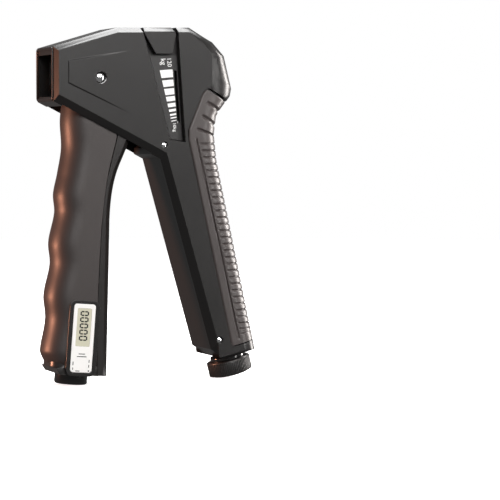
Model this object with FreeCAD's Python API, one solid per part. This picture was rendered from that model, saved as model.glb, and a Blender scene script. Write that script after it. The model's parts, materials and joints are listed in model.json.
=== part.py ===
import FreeCAD, Part
import math
import os

# Adjustable hand gripper with a repetition counter, in millimetres.
# X runs from the front handle to the rear handle, Y across the thickness, Z up.
# Shapes are drawn with the main pivot pin's axis at X = 0, Z = 0, and move_to_base() then sets
# the origin at the centre of the box's base.

V = FreeCAD.Vector

# Driving dimensions
PIVOT_HEIGHT = 140.8            # main pin above the surface that the gripper stands on
PIVOT_X = -27.84                # main pin from the middle of the gripper's length
BODY_HALF = 15.0                # half the thickness of the head and rear handle
BEVEL_HALF = 12.0               # half thickness where the side bevels start
ROUND_START = 5.0               # half width of the flat part of the rear handle's back
WIDE_CAVITY_HALF = 12.4         # room for the front handle between the head's cheeks
CORE_CAVITY_HALF = 9.4          # room for the screw and the slider block
PIN_R = 3.0
PIN_DOME_R = 2.6
DOME_BELOW_FACE = 0.2
RUN_FIT = 0.05                  # radial play of a running fit

REAR_AXIS_X = 35.0              # the screw axis crosses Z = 0 here
REAR_TILT = math.radians(14.0)
REAR_END = 133.3                # end of the rear handle, measured along the screw axis
GRIP_RUBBER = 2.5               # thickness of the rear grip

HANDLE_HALF = 11.8              # half the thickness of the front handle
HANDLE_TILT = math.radians(4.5)
SLEEVE_HALF = 9.8               # half thickness of the core under the front grip
BACK_BEVEL = 2.6

SCREW_R = 3.0
BLOCK_REST = 20.6               # the block's middle along the screw axis, at the lowest setting
KNOB_R = 10.4
KNOB_TOP = 135.0
KNOB_BOTTOM = 142.6

WIRE_R = 1.8                    # torsion spring
COIL_R = 9.0
COIL_HALF = 4.4                 # the legs lie this far each side of the middle plane
SPRING_TIP = 26.5
FRONT_LEG = 40.0                # from the coil down the front handle
BLOCK_TO_LEG = 9.1              # the rear leg's middle line, in front of the screw axis
BUTTON_R = 7.6
BUTTON_X = 0.65                 # the button's axis crosses Z = 0 here
BUTTON_END = 140.64             # its lower face, measured along its axis

parts = {}


def turn_down(tilt, x, along, across):
    """Point at a distance down a tilted axis that crosses Z = 0 at x, and across it."""
    return (
        x + along * math.sin(tilt) + across * math.cos(tilt),
        -along * math.cos(tilt) + across * math.sin(tilt),
    )


def rear(along, across=0.0):
    """Point in the rear handle: down the screw axis, then towards its back."""
    return turn_down(REAR_TILT, REAR_AXIS_X, along, across)


def front(along, across=0.0):
    """Point in the front handle: down its axis from the pivot, then towards the rear."""
    return turn_down(-HANDLE_TILT, 0.0, along, across)


def corner_arc(before, corner, after, radius):
    """Start, middle and end of the arc that rounds a corner."""
    to_before = (before - corner).normalize()
    to_after = (after - corner).normalize()
    half = math.acos(max(-1.0, min(1.0, to_before.dot(to_after)))) / 2
    reach = radius / math.tan(half)
    centre = corner + (to_before + to_after).normalize() * (radius / math.sin(half))
    middle = centre + (corner - centre).normalize() * radius
    return corner + to_before * reach, middle, corner + to_after * reach


def outline(corners, y):
    """Closed wire through corners (x, z, radius) in the plane at y."""
    points = [V(c[0], y, c[1]) for c in corners]
    count = len(points)
    pieces = []
    for i in range(count):
        radius = corners[i][2] if len(corners[i]) > 2 else 0.0
        if radius > 0:
            pieces.append(corner_arc(points[i - 1], points[i], points[(i + 1) % count], radius))
        else:
            pieces.append((points[i], None, points[i]))
    edges = []
    for i in range(count):
        start, middle, end = pieces[i]
        if middle is not None:
            edges.append(Part.Arc(start, middle, end).toShape())
        edges.append(Part.LineSegment(end, pieces[(i + 1) % count][0]).toShape())
    return Part.Wire(edges)


def prism(corners, y0, y1):
    """Solid with a rounded polygon section in XZ, from y0 to y1."""
    return Part.Face(outline(corners, y0)).extrude(V(0, y1 - y0, 0))


def slab(corners, half):
    """The same, as far each side of the middle plane."""
    return prism(corners, -half, half)


def rod(x, z, radius, y0, y1):
    """Cylinder along Y."""
    return Part.makeCylinder(radius, y1 - y0, V(x, y0, z), V(0, 1, 0))


def tilted_rod(tilt, x, start, end, radius, y=0.0):
    """Cylinder along a tilted axis, from start to end."""
    low = turn_down(tilt, x, start, 0.0)
    down = V(math.sin(tilt), 0, -math.cos(tilt))
    return Part.makeCylinder(radius, end - start, V(low[0], y, low[1]), down)


def screw_rod(start, end, radius):
    return tilted_rod(REAR_TILT, REAR_AXIS_X, start, end, radius)


def join(shapes):
    first = shapes[0]
    return first.fuse(shapes[1:]).removeSplitter() if len(shapes) > 1 else first


def less(shape, *cutters):
    for cutter in cutters:
        shape = shape.cut(cutter)
    return shape


def near_half(shape):
    return shape.common(Part.makeBox(300, 100, 400, V(-150, -100, -250)))


def far_half(shape):
    return shape.common(Part.makeBox(300, 100, 400, V(-150, 0, -250)))


# The head and rear handle

# Corners of the body: (outer x, outer z, flat face x, flat face z, is on the round back).
# The outer outline holds up to BEVEL_HALF, and the flat face lies at BODY_HALF.
BODY = [
    (-21.7, 13.7, -20.0, 11.7, False),
    (8.7, 22.8, 8.0, 20.4, False),
    (43.6, 23.4, 42.5, 21.2, False),
    (56.8, 17.2, 50.6, 15.4, True),
    (60.4, 13.4, 53.2, 12.4, True),
    (63.0, 10.8, 54.0, 9.6, True),
    (66.9, -4.6, 54.0, 0.5, True),
    (66.2, -8.0, 53.2, -5.0, True),
    (59.0, -17.3, 50.4, -14.5, True),
    (57.9, -25.7, 49.2, -26.0, True),
    (59.2, -37.7, 50.4, -38.5, True),
    (78.6, -126.5, 70.4, -126.3, True),
    (62.0, -130.6, 57.6, -129.5, False),
    (54.4, -125.7, 57.0, -122.5, False),
    (29.5, -37.0, 31.6, -34.1, False),
    (-21.7, -10.9, -20.0, -7.8, False),
]
HALF_STEPS = (0.0, 5.0, 8.0, 10.2, 12.0, 13.3, 14.3, 15.0)


def bevel_share(y):
    """How far a bevelled corner has come from the outer outline to the flat face."""
    return max(0.0, (y - BEVEL_HALF) / (BODY_HALF - BEVEL_HALF))


def round_share(y):
    """The same for a corner on the round back, which follows a quarter circle."""
    reach = max(0.0, (y - ROUND_START) / (BODY_HALF - ROUND_START))
    return 1 - math.sqrt(max(0.0, 1 - reach * reach))


def body_level(y, skin=0.0):
    """The body's outline at y, or that of the form that lies skin inside its round back."""
    level = []
    for outer_x, outer_z, face_x, face_z, on_back in BODY:
        share = round_share(y) if on_back else bevel_share(y)
        x = outer_x + (face_x - outer_x) * share
        z = outer_z + (face_z - outer_z) * share
        if on_back:
            x -= skin * math.cos(REAR_TILT)
            z -= skin * math.sin(REAR_TILT)
        level.append((x, z))
    return level


def body_half(side, skin=0.0):
    """One half of the body's form, as ruled bands between its outlines."""
    shrink = (BODY_HALF - skin) / BODY_HALF
    bands = []
    for y0, y1 in zip(HALF_STEPS, HALF_STEPS[1:]):
        wires = [
            outline(body_level(y0, skin), side * y0 * shrink),
            outline(body_level(y1, skin), side * y1 * shrink),
        ]
        bands.append(Part.makeLoft(wires, True, True))
    return join(bands)


# Behind this seam the body is the rear grip.
GRIP_REGION = [
    (52.2, -4.2, 1.5), (49.4, -6.2, 1.5), (41.9, -24.0, 3.0), (42.2, -28.5, 6.0), (45.4, -42.3),
    (63.2, -122.6, 2.0), (64.4, -124.6, 0.8), (95.0, -117.0), (95.0, -18.0), (66.8, -11.6),
]
# The ring round the head's mouth.
NOSE_FRONT = -22.4
NOSE_DEEP = 0.7
NOSE_WIDE = 24.0
NOSE_TALL = 24.0
NOSE_LOW = -10.6
NOSE_WALL = 1.2
# The wedge recess that holds the scale, and its part above the clip's tabs.
WEDGE = [(18.9, 25.5), (20.3, 20.3), (33.1, -28.1), (40.9, -29.4), (37.5, 19.8), (37.1, 25.5)]
TOP_GAP = [(18.9, 25.5), (20.5, 19.4), (37.5, 19.4), (37.1, 25.5)]
CLIP_TAB = [
    (21.7, 25.5), (20.8, 20.4), (26.6, 10.9), (34.8, 11.0), (36.6, 20.0), (33.9, 25.5),
]
SCALE_PLATE = [(23.4, 10.4), (33.6, -27.6), (40.2, -28.6), (37.6, 10.4)]
WEDGE_FLOOR = 11.2
SCALE_FACE = 12.0
SLOT_TOP = (36.9, 3.5)
SLOT_END = (38.6, -20.5)
SLOT_WIDTH = 1.3
MOUTH = [(-30.0, -8.8, 0.0), (-18.0, -8.8, 0.0), (-18.0, 11.2, 0.0), (-30.0, 7.9, 0.0)]
WIDE_CAVITY = [
    (-18.5, 11.2), (8.9, 19.6), (17.5, 19.8), (27.6, -20.0), (27.6, -29.0), (25.2, -32.0),
    (25.2, -42.0), (-12.0, -42.0), (-18.5, -8.0),
]
CORE_CAVITY = [
    (15.0, 20.0), (42.8, 20.8, 2.0), (53.0, 14.2, 3.0), (57.2, 8.6, 2.0), (60.8, -4.0, 4.0),
    (52.4, -17.5, 6.0), (51.6, -27.0, 8.0), (53.0, -37.5, 8.0), (71.0, -120.2), (56.6, -123.8, 2.0),
    (33.4, -42.3, 4.0), (27.0, -31.0),
]
HOUSING_PINS = [(30.6, -30.6), (57.9, -121.2)]
HOUSING_PIN_R = 1.6
CASE_SCREWS = [rear(62.0, -7.4), rear(98.0, -6.8)]
MAGNET = rear(116.0, -11.5)


def scale_slot(y0, y1):
    """The narrow window beside the scale."""
    dx = SLOT_END[0] - SLOT_TOP[0]
    dz = SLOT_END[1] - SLOT_TOP[1]
    length = math.hypot(dx, dz)
    side_x = -dz / length * SLOT_WIDTH / 2
    side_z = dx / length * SLOT_WIDTH / 2
    corners = [
        (SLOT_TOP[0] - side_x, SLOT_TOP[1] - side_z), (SLOT_END[0] - side_x, SLOT_END[1] - side_z),
        (SLOT_END[0] + side_x, SLOT_END[1] + side_z), (SLOT_TOP[0] + side_x, SLOT_TOP[1] + side_z),
    ]
    return prism(corners, y0, y1)


def case_boss(x, z, side):
    """Boss for a case screw, from the middle plane to the side wall."""
    return rod(x, z, 3.2, *sorted((0.0, side * (CORE_CAVITY_HALF + 0.5))))


def case_screw(x, z):
    """Pan head screw that enters from the far side and ends in the near boss."""
    return rod(x, z, 1.4, -6.0, 11.0).fuse(rod(x, z, 2.6, 11.0, 12.4))


def magnet_disc(radius, depth):
    """Disc let into the rear handle's inner face."""
    into = V(math.cos(REAR_TILT), 0, math.sin(REAR_TILT))
    return Part.makeCylinder(radius, depth, V(MAGNET[0], 0, MAGNET[1]), into)


def housing_half(side):
    """Half shell of the head and rear handle, open under the head and at the nose."""
    form = body_half(side)
    grip_seat = slab(GRIP_REGION, 20.0).cut(body_half(side, GRIP_RUBBER))
    form = less(
        form, grip_seat, slab(MOUTH, 10.2), slab(WIDE_CAVITY, WIDE_CAVITY_HALF),
        slab(CORE_CAVITY, CORE_CAVITY_HALF), slab(TOP_GAP, 20.0),
        prism(WEDGE, *sorted((side * WEDGE_FLOOR, side * 20.0))),
        scale_slot(*sorted((0.0, side * 20.0))),
    )
    bosses = []
    for x, z in CASE_SCREWS:
        bosses.append(case_boss(x, z, side).cut(screw_rod(0.0, REAR_END, 4.2)))
    form = form.fuse(bosses)
    shell = less(
        form,
        rod(0, 0, PIN_R, -13.4, 13.4), rod(0, 0, PIN_DOME_R + 0.2, -20, 20),
        screw_rod(120.0, 140.0, 5.5), magnet_disc(3.0, 2.0),
        *[rod(x, z, HOUSING_PIN_R, -20, 20) for x, z in HOUSING_PINS],
        *[case_screw(x, z) for x, z in CASE_SCREWS],
        *[rod(x, z, 2.6, 12.4, 20.0) for x, z in CASE_SCREWS],
    )
    return biggest(shell)


def biggest(shape):
    """The largest solid of a shape, without the crumbs that a cut leaves."""
    return max(shape.Solids, key=lambda solid: solid.Volume)


def rear_grip():
    """Rubber skin over the back of the rear handle, up to its seam."""
    halves = []
    for side in (-1, 1):
        skin = body_half(side).common(slab(GRIP_REGION, 20.0))
        halves.append(skin.cut(body_half(side, GRIP_RUBBER)))
    return biggest(halves[0].fuse(halves[1]).removeSplitter())


def top_clip():
    """Saddle over the head's top, with a tab down each side of the scale recess."""
    form = body_half(-1).fuse(body_half(1)).common(slab(CLIP_TAB, BODY_HALF - 0.4))
    room = Part.makeBox(60, 2 * SCALE_FACE, 60, V(10, -SCALE_FACE, 20.9 - 60))
    return biggest(form.cut(room).removeSplitter())


def nose_frame():
    """Thin rounded ring round the open front of the head."""
    ring = Part.makeBox(NOSE_DEEP, NOSE_WIDE, NOSE_TALL, V(NOSE_FRONT, -NOSE_WIDE / 2, NOSE_LOW))
    across = [e for e in ring.Edges if abs(e.BoundBox.XLength - NOSE_DEEP) < 0.01]
    ring = ring.makeFillet(1.6, across)
    mouth = Part.makeBox(
        5.0, NOSE_WIDE - 2 * NOSE_WALL, NOSE_TALL - 2 * NOSE_WALL,
        V(NOSE_FRONT - 1.0, NOSE_WALL - NOSE_WIDE / 2, NOSE_LOW + NOSE_WALL),
    )
    return ring.cut(mouth)


def scale_plate(side):
    """Thin printed plate on the recess floor."""
    plate = prism(SCALE_PLATE, *sorted((side * WEDGE_FLOOR, side * SCALE_FACE)))
    return plate.cut(scale_slot(*sorted((0.0, side * 20.0))))


def dome(x, z, radius, y, side, height):
    """Shallow dome whose rim is at y and whose top stands height further out."""
    ball_r = (radius * radius + height * height) / (2 * height)
    ball = Part.makeSphere(ball_r, V(x, y + side * (height - ball_r), z))
    return ball.common(rod(x, z, radius, *sorted((y, y + side * height))))


def main_pin():
    """Pivot pin across the head, with a domed near end and a threaded far end."""
    top = BODY_HALF - DOME_BELOW_FACE
    pin = join([
        rod(0, 0, PIN_R, -13.4, 13.4), rod(0, 0, PIN_DOME_R, 0.9 - top, -13.4),
        dome(0, 0, PIN_DOME_R, 0.9 - top, -1, 0.9),
    ])
    return pin.cut(rod(0, 0, 1.5, 5.0, 20.0))


def pivot_screw():
    """Domed screw in the pin's far end."""
    top = BODY_HALF - DOME_BELOW_FACE
    return join([
        rod(0, 0, 1.5, 5.5, 13.4), rod(0, 0, PIN_DOME_R, 13.4, top - 0.9),
        dome(0, 0, PIN_DOME_R, top - 0.9, 1, 0.9),
    ])


def housing_pin(x, z):
    top = BODY_HALF - DOME_BELOW_FACE
    body = rod(x, z, HOUSING_PIN_R, 0.6 - top, top - 0.6)
    near = dome(x, z, HOUSING_PIN_R, 0.6 - top, -1, 0.6)
    far = dome(x, z, HOUSING_PIN_R, top - 0.6, 1, 0.6)
    return join([body, near, far])


# The screw, the knob and the slider


def across_plate(start, end, half_across, half_y):
    """Block square to the screw axis."""
    corners = [
        rear(start, -half_across), rear(end, -half_across), rear(end, half_across),
        rear(start, half_across),
    ]
    return slab(corners, half_y)


def lead_screw():
    """Screw and shaft in one, from the top bearing to the knob."""
    screw = join([
        screw_rod(-12.0, -8.3, 2.0), screw_rod(-8.3, 34.0, SCREW_R), screw_rod(34.0, 141.0, 2.5),
    ])
    return less(screw, screw_rod(137.0, 141.0, 1.0))


def adjuster_knob():
    """Round knob with a rounded lower rim and a recess for its screw."""
    knob = screw_rod(KNOB_TOP, KNOB_BOTTOM, KNOB_R)
    low = V(*[rear(KNOB_BOTTOM)[0], 0, rear(KNOB_BOTTOM)[1]])
    rims = [
        e for e in knob.Edges
        if (e.BoundBox.Center - low).Length < 0.1 and len(e.Vertexes) == 1
    ]
    knob = knob.makeFillet(1.2, rims)
    return less(knob, screw_rod(130.0, 141.0, 2.5), screw_rod(141.0, 150.0, 3.2))


def slider_block():
    block = across_plate(BLOCK_REST - 5.0, BLOCK_REST + 5.0, 7.0, 8.8)
    return block.cut(screw_rod(BLOCK_REST - 9, BLOCK_REST + 9, 5.0))


def scale_pointer():
    """Light strip on each side of the block, seen through the slots."""
    corners = [
        rear(BLOCK_REST - 0.6, -4.5), rear(BLOCK_REST + 0.6, -4.5), rear(BLOCK_REST + 0.6, 4.5),
        rear(BLOCK_REST - 0.6, 4.5),
    ]
    return Part.Compound([prism(corners, -9.2, -8.8), prism(corners, 8.8, 9.2)])


# The torsion spring: a front leg, the coil, and a rear leg that bends down beside the screw


def torsion_spring():
    # Round wire along one path: a straight front leg, the helix, and a rear leg with a bend.
    leg_angle = math.radians(188.0)
    turns = (188.0 - 90.0) / 360.0 + 2
    outward = V(math.cos(leg_angle), 0, math.sin(leg_angle))
    onward = V(math.sin(leg_angle), 0, -math.cos(leg_angle))
    height = 2 * COIL_HALF
    helix = Part.makeHelix(height / turns, height, COIL_R)
    helix.transformShape(FreeCAD.Matrix(
        outward.x, onward.x, 0, 0, outward.y, onward.y, 1, -COIL_HALF,
        outward.z, onward.z, 0, 0, 0, 0, 0, 1,
    ))
    coil_start, coil_end = (vertex.Point for vertex in Part.Wire(helix.Edges).OrderedVertexes)
    leg_end = coil_start - onward * FRONT_LEG
    bend_x = REAR_AXIS_X - BLOCK_TO_LEG / math.cos(REAR_TILT) - COIL_R * math.tan(REAR_TILT)
    tip_x, tip_z = rear(SPRING_TIP, -BLOCK_TO_LEG)
    tip = V(tip_x, COIL_HALF, tip_z)
    bend_start, bend_middle, bend_end = corner_arc(
        coil_end, V(bend_x, COIL_HALF, COIL_R), tip, 6.0
    )
    path = Part.Wire([
        Part.LineSegment(leg_end, coil_start).toShape(), *helix.Edges,
        Part.LineSegment(coil_end, bend_start).toShape(),
        Part.Arc(bend_start, bend_middle, bend_end).toShape(),
        Part.LineSegment(bend_end, tip).toShape(),
    ])
    ring = Part.Wire([Part.Circle(leg_end, onward, WIRE_R).toShape()])
    return path.makePipeShell([ring], True, False, 0)


# The front handle

# Finger side of the grip on the middle plane: crests and grooves in turn.
FINGER_LINE = [
    (-13.5, -12.0), (-14.2, -20.0), (-13.7, -32.0), (-15.6, -43.5), (-17.6, -53.0), (-17.3, -61.0),
    (-20.0, -75.0), (-19.5, -84.5), (-22.4, -99.0), (-21.9, -109.5), (-24.4, -125.0),
    (-22.6, -131.4),
]
# Finger side of the hard core under the rubber.
CORE_LINE = [
    (-12.2, -6.0), (-11.3, -14.0), (-10.6, -32.0), (-14.0, -52.0), (-16.6, -75.0), (-19.0, -99.5),
    (-21.0, -122.0), (-21.8, -131.4),
]
# Rear edge of the handle, from the head down to the base.
BACK_LINE = [
    (16.6, -24.0), (14.8, -29.9), (9.4, -42.5), (6.4, -56.0), (5.4, -76.0), (4.8, -98.0),
    (4.4, -120.0),
]
# Seam between the grip and the bevelled rear edge.
SEAM_LINE = [
    (9.6, -24.0), (8.9, -27.0), (4.4, -44.5), (1.5, -65.0), (0.2, -83.0), (-0.6, -99.0),
    (-1.2, -131.6),
]
BASE_BACK = (4.0, -136.5)


def spline_edge(points):
    curve = Part.BSplineCurve()
    curve.interpolate(Points=[V(x, 0, z) for x, z in points])
    return curve.toShape()


def section_wire(pieces, y):
    """Closed wire at y, from pieces given as ("line" or "curve", points)."""
    edges = []
    for kind, points in pieces:
        if kind == "curve":
            edges.append(spline_edge(points))
        else:
            for a, b in zip(points, points[1:]):
                edges.append(Part.LineSegment(V(a[0], 0, a[1]), V(b[0], 0, b[1])).toShape())
    wire = Part.Wire(Part.__sortEdges__(edges))
    wire.translate(V(0, y, 0))
    return wire


def closed_prism(pieces, half):
    """Solid with that section, as far each side of the middle plane."""
    return Part.Face(section_wire(pieces, -half)).extrude(V(0, 2 * half, 0))


def rounded_front(shape, radius, x_limit):
    """Rounds the two long edges along the finger side."""
    chosen = []
    for edge in shape.Edges:
        box = edge.BoundBox
        if box.ZLength > 100 and box.YLength < 0.01 and box.XMax < x_limit:
            chosen.append(edge)
    return shape.makeFillet(radius, chosen)


def grip_form():
    """Outer form of the grip: finger line in front, seam behind."""
    outline_parts = [
        ("curve", FINGER_LINE),
        ("line", [FINGER_LINE[-1], SEAM_LINE[-1]]),
        ("curve", SEAM_LINE),
        ("line", [SEAM_LINE[0], (7.6, -16.0), FINGER_LINE[0]]),
    ]
    return rounded_front(closed_prism(outline_parts, HANDLE_HALF), 8.5, -10.0)


def back_pieces(inset):
    """Section of the handle's rear part, with its rear edge inset towards the fingers."""
    back_line = [(x - inset, z) for x, z in BACK_LINE]
    return [
        ("curve", back_line),
        ("line", [back_line[-1], (BASE_BACK[0] - inset, BASE_BACK[1] + 0.4 * inset), (-1.2, -136.1),
                  SEAM_LINE[-1]]),
        ("curve", SEAM_LINE),
        ("line", [SEAM_LINE[0], (9.0, -14.0), back_line[0]]),
    ]


def back_bevel(side):
    """The bevelled outer layer of the handle's rear part, on one side."""
    inner = section_wire(back_pieces(0.0), side * (HANDLE_HALF - BACK_BEVEL))
    outer = section_wire(back_pieces(BACK_BEVEL), side * HANDLE_HALF)
    return Part.makeLoft([inner, outer], True, True)


def core_form():
    """Hard core: the sleeve under the grip, full thickness behind the seam, ears at the pivot."""
    sleeve_parts = [
        ("curve", CORE_LINE),
        ("line", [
            CORE_LINE[-1], (0.0, -133.2), (1.0, -99.0), (3.2, -65.0), (6.2, -44.5), (10.6, -27.0),
        ]),
        ("line", [(10.6, -27.0), (11.0, -8.0), CORE_LINE[0]]),
    ]
    sleeve = rounded_front(closed_prism(sleeve_parts, SLEEVE_HALF), 6.0, -9.0)
    back = join([
        closed_prism(back_pieces(0.0), HANDLE_HALF - BACK_BEVEL),
        back_bevel(-1),
        back_bevel(1),
    ])
    ear = rod(0, 0, HANDLE_HALF, -HANDLE_HALF, HANDLE_HALF)
    neck = slab(
        [(-11.8, 0.0), (11.8, 0.0), (14.0, -14.0), (9.2, -16.2), (7.6, -15.8), (-13.2, -11.8)],
        HANDLE_HALF,
    )
    base = slab(
        [(-20.8, -131.6), (-1.0, -131.8), (-1.0, -136.1), (-19.0, -134.7, 1.5)],
        HANDLE_HALF - 0.6,
    )
    return join([sleeve, back, ear, neck, base])


CORE_ROOM = [
    (-14.0, 30.0), (30.0, 30.0), (30.0, -13.0), (11.0, -13.0), (11.6, -26.0), (6.2, -43.0),
    (3.8, -56.0),
    (2.6, -76.0), (2.0, -98.0), (1.6, -131.0), (-18.6, -129.4), (-16.6, -99.0), (-14.2, -75.0),
    (-11.8, -52.0), (-8.9, -32.0), (-9.4, -14.0), (-10.2, -11.0), (-14.0, -9.0),
]
CORE_ROOM_HALF = 8.2
CHANNEL = [
    (-8.4, 0.0), (8.4, 0.0), (8.2, -12.0), (5.0, -34.0), (-5.6, -92.0), (-15.0, -92.0),
    (-13.9, -75.0),
    (-11.5, -52.0), (-8.6, -32.0),
]
CHANNEL_WALL = 1.6
POD_DEEP = 9.8
POD_FACE = 12.3


def display_rect(centre_z, width, length, radius, y0, y1):
    """Rounded plate on the display's own tilted middle line."""
    centre_x = -7.0 + (centre_z + 102.4) * math.tan(HANDLE_TILT)
    plate = prism(
        [
            (centre_x + dx * width / 2, centre_z + dz * length / 2, radius)
            for dx, dz in ((-1, 1), (1, 1), (1, -1), (-1, -1))
        ],
        y0, y1,
    )
    plate.rotate(V(centre_x, 0, centre_z), V(0, 1, 0), math.degrees(HANDLE_TILT))
    return plate


def pod_seat(y0, y1):
    return display_rect(-118.5, 14.4, 34.6, 3.0, y0, y1)


def handle_half(side):
    """Half shell of the front handle's core."""
    form = core_form()
    form = less(
        form, slab(CORE_ROOM, CORE_ROOM_HALF), rod(0, 0, PIN_R + 1.0, -20, 20),
        pod_seat(-20.0, -POD_DEEP), display_rect(-118.4, 9.0, 28.0, 1.0, -10.0, -8.0),
        tilted_rod(-HANDLE_TILT, BUTTON_X, 128.0, 150.0, BUTTON_R + 0.2),
        tilted_rod(-HANDLE_TILT, BUTTON_X, 128.0, 133.2, BUTTON_R + 1.0),
    )
    half = near_half(form) if side < 0 else far_half(form)
    return half



def button_rod(start, end, radius):
    return tilted_rod(-HANDLE_TILT, BUTTON_X, start, end, radius)


def front_grip():
    shape = grip_form().cut(core_form())
    shape = less(shape, pod_seat(-20.0, -5.0), rod(0, 0, 12.4, -20, 20))
    return biggest(shape)


def lever_channel():
    """Bent steel channel: two flanges to the pivot and a web under the fingers."""
    solid = slab(CHANNEL, CORE_ROOM_HALF)
    ear = rod(0, 0, 8.4, -CORE_ROOM_HALF, CORE_ROOM_HALF)
    inside = slab(
        [
            (-30, 30), (30, 30), (30, -100), (-13.8, -100), (-12.2, -75), (-9.8, -52),
            (-6.9, -31), (-6.9, -29), (-30, -29),
        ],
        CORE_ROOM_HALF - CHANNEL_WALL,
    )
    return less(solid.fuse(ear), inside, rod(0, 0, PIN_R + 1.0, -20, 20))


def display_bezel():
    bezel = pod_seat(-POD_FACE, -POD_DEEP)
    return less(bezel, display_rect(-118.3, 10.5, 31.4, 1.5, -20.0, 0.5 - POD_FACE),
                display_rect(-118.0, 8.4, 28.0, 1.0, -20.0, 0.0))


def display_panel():
    panel = display_rect(-118.3, 10.3, 31.2, 1.4, -POD_FACE - 0.1, 0.5 - POD_FACE)
    return panel.cut(display_rect(-113.4, 6.8, 17.4, 0.5, -20.0, 0.0))


def lcd_glass():
    return display_rect(-113.4, 6.7, 17.3, 0.5, -POD_FACE, 1.3 - POD_FACE)


def button_spring():
    """Small compression spring above the reset button."""
    helix = Part.makeHelix(1.0, 4.0, 2.6)
    helix.rotate(V(0, 0, 0), V(1, 0, 0), 180)
    wire = Part.Wire(helix.Edges)
    ring = Part.Wire([Part.Circle(V(2.6, 0, 0), V(0, 1, 0), 0.25).toShape()])
    spring = wire.makePipeShell([ring], True, True)
    spring.rotate(V(0, 0, 0), V(0, 1, 0), math.degrees(HANDLE_TILT))
    x, z = turn_down(-HANDLE_TILT, BUTTON_X, 126.7, 0.0)
    spring.translate(V(x, 0, z))
    return spring


def make_housing():
    parts["housing_left"] = housing_half(-1)
    parts["housing_right"] = housing_half(1)
    parts["nose_frame"] = nose_frame()
    parts["top_clip"] = top_clip()
    parts["rear_grip"] = rear_grip()
    parts["scale_plate_left"] = scale_plate(-1)
    parts["scale_plate_right"] = scale_plate(1)
    parts["main_pin"] = main_pin()
    parts["pivot_screw"] = pivot_screw()
    parts["housing_pins"] = Part.Compound([housing_pin(x, z) for x, z in HOUSING_PINS])
    parts["case_screws"] = Part.Compound([case_screw(x, z) for x, z in CASE_SCREWS])
    parts["counter_magnet"] = magnet_disc(3.0, 2.0)
    parts["open_stop"] = slab(
        [(-15.6, -9.2), (-12.9, -9.2), (-12.9, -5.6), (-15.6, -5.6)], WIDE_CAVITY_HALF
    )
    parts["spring_spool"] = rod(0, 0, 6.6, -6.3, 6.3).cut(rod(0, 0, PIN_R + 0.1, -20, 20))
    parts["torsion_spring"] = torsion_spring()
    parts["screw_bearing_top"] = across_plate(-12.5, -8.6, 6.5, CORE_CAVITY_HALF).cut(
        screw_rod(-20, 0, 2.0 + RUN_FIT))
    parts["screw_bearing_bottom"] = screw_rod(127.6, REAR_END, 5.5).cut(
        screw_rod(120, 140, 2.5 + RUN_FIT)
    )


def make_adjuster():
    parts["lead_screw"] = lead_screw()
    parts["adjuster_knob"] = adjuster_knob()
    parts["knob_collar"] = screw_rod(REAR_END + 0.2, KNOB_TOP, 8.2).cut(screw_rod(130, 140, 2.5))
    parts["knob_screw"] = screw_rod(137.0, 141.0, 1.0).fuse(screw_rod(141.0, 142.2, 3.2))
    parts["screw_ring"] = screw_rod(126.0, 127.2, 4.4).cut(screw_rod(120, 140, 2.5))
    parts["slider_block"] = slider_block()
    parts["slider_nut"] = screw_rod(BLOCK_REST - 5.0, BLOCK_REST + 5.0, 5.0).cut(
        screw_rod(0, 60, SCREW_R + RUN_FIT))
    parts["scale_pointer"] = scale_pointer()


def make_front_handle():
    parts["handle_shell_left"] = handle_half(-1)
    parts["handle_shell_right"] = handle_half(1)
    parts["front_grip"] = front_grip()
    parts["lever_channel"] = lever_channel()
    bore = rod(0, 0, PIN_R + RUN_FIT, -20, 20)
    parts["pivot_bush_left"] = rod(0, 0, PIN_R + 1.0, -HANDLE_HALF, -6.7).cut(bore)
    parts["pivot_bush_right"] = rod(0, 0, PIN_R + 1.0, 6.7, HANDLE_HALF).cut(bore)
    parts["display_bezel"] = display_bezel()
    parts["display_panel"] = display_panel()
    parts["lcd_glass"] = lcd_glass()
    parts["counter_board"] = display_rect(-118.3, 8.2, 26.6, 0.6, -10.6, -9.6)
    parts["coin_cell"] = rod(-7.6, -109.0, 4.0, -7.9, -5.6)
    parts["reed_switch"] = tilted_rod(-HANDLE_TILT, 9.0, 104.0, 116.0, 1.0)
    parts["reset_button"] = button_rod(131.4, 133.0, BUTTON_R + 0.8).fuse(
        button_rod(133.0, BUTTON_END, BUTTON_R)).removeSplitter()
    parts["tact_switch"] = button_rod(124.2, 126.2, 1.8)
    parts["switch_board"] = button_rod(123.0, 124.2, 6.6).common(
        Part.makeBox(60, 2 * CORE_ROOM_HALF, 60, V(-30, -CORE_ROOM_HALF, -160)))
    parts["button_spring"] = button_spring()


def move_to_base():
    for shape in parts.values():
        shape.translate(V(PIVOT_X, 0, PIVOT_HEIGHT))


def main():
    make_housing()
    make_adjuster()
    make_front_handle()
    move_to_base()
    os.makedirs("parts", exist_ok=True)
    for name, shape in parts.items():
        shape.exportStep("parts/" + name + ".step")
    whole = Part.Compound(list(parts.values())).BoundBox
    print("nodes", len(parts), "x", whole.XMin, whole.XMax, "y", whole.YMin, whole.YMax,
          "z", whole.ZMin, whole.ZMax)


main()
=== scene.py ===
"""Adjustable hand gripper with a repetition counter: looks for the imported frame."""
import json
import logging
import math
from dataclasses import dataclass, field
from enum import Enum
from typing import Any, Callable, Sequence

import bmesh
import bpy
from mathutils import Matrix, Vector


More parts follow.
